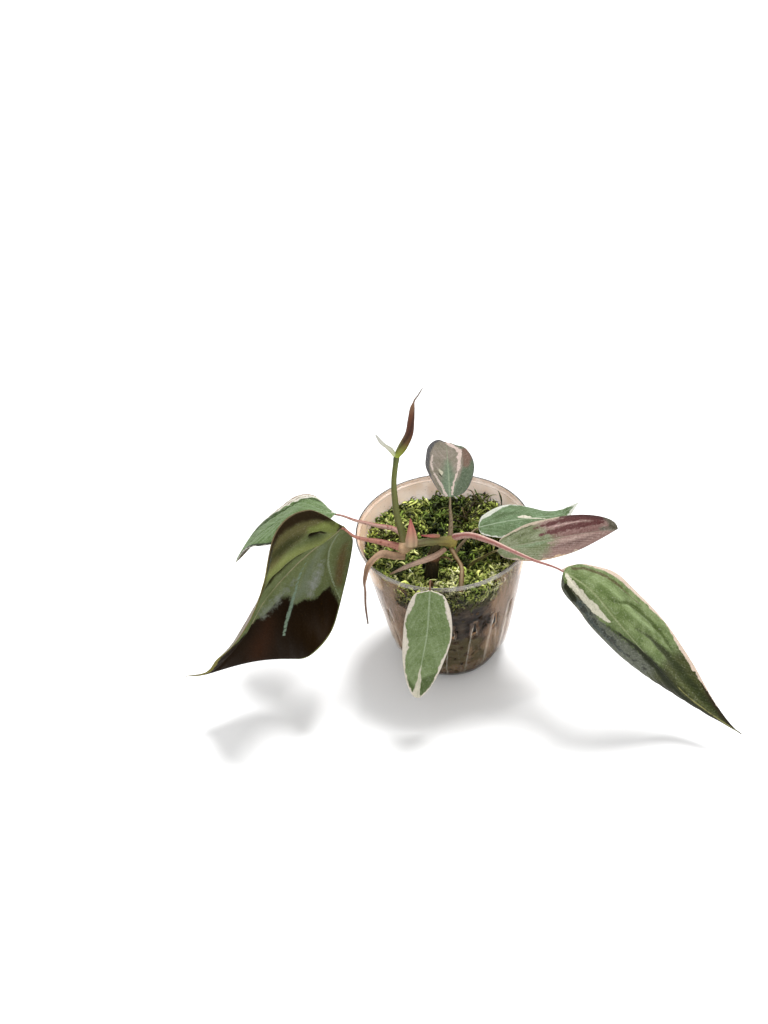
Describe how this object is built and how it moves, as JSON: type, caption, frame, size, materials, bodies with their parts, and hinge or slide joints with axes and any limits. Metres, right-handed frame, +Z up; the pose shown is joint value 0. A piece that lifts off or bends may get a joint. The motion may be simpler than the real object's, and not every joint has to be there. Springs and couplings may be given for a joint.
{
  "type": "potted young velvet-leaved climbing philodendron",
  "caption": "Young velvet-leaved philodendron cutting with pale leaf margins, a rolled new leaf and bare roots, in a small clear nursery pot of potting mix topped with live moss.",
  "frame": {"origin": "centre of the pot's foot, on the face it stands on", "axes": "+Z up along the pot's axis, -Y towards the front of the plant, +X to the right as seen from the front"},
  "size_m": [0.2397, 0.1238, 0.159],
  "materials": {
    "clear_plastic": "thin clear plastic, slightly cloudy, smooth",
    "potting_mix": "damp dark potting mix",
    "live_moss": "live curly moss, matt",
    "stem_green": "olive stem with brown stripes, satin",
    "stalk_pink": "pink leaf stalk, satin",
    "stalk_brown": "grey-brown leaf stalk, satin",
    "sheath_pink": "salmon sheath, satin",
    "sheath_dry": "withered tan sheath, matt",
    "sheath_white": "thin whitish sheath",
    "root_brown": "brown aerial root, matt",
    "furled_maroon": "rolled young leaf, maroon, satin",
    "leaf_dark": "velvety leaf, grey-green to brown-black",
    "leaf_green": "velvety green leaf with a cream to pink margin",
    "leaf_mauve": "velvety leaf, green flushed with mauve brown"
  },
  "bodies": {
    "root": {"pot": "clear_plastic", "soil": "potting_mix", "moss": "live_moss", "vine": "stem_green", "furled_leaf": "furled_maroon", "furl_sheath": "sheath_white", "node_sheath": "sheath_pink", "pointed_sheath": "sheath_dry", "withered_sheath": "sheath_dry", "long_root": "root_brown", "short_root": "root_brown", "side_bud": "stalk_pink", "stalk_left_back": "stalk_pink", "leaf_left_back": "leaf_green", "stalk_left_front": "stalk_pink", "leaf_left_front": "leaf_dark", "stalk_upright": "stalk_brown", "leaf_upright": "leaf_mauve", "stalk_right_back": "stalk_brown", "leaf_right_back": "leaf_green", "stalk_right_middle": "stalk_brown", "leaf_right_middle": "leaf_mauve", "stalk_right_front": "stalk_pink", "leaf_right_front": "leaf_green", "stalk_front": "stalk_brown", "leaf_front": "leaf_green"}
  },
  "joints": []
}
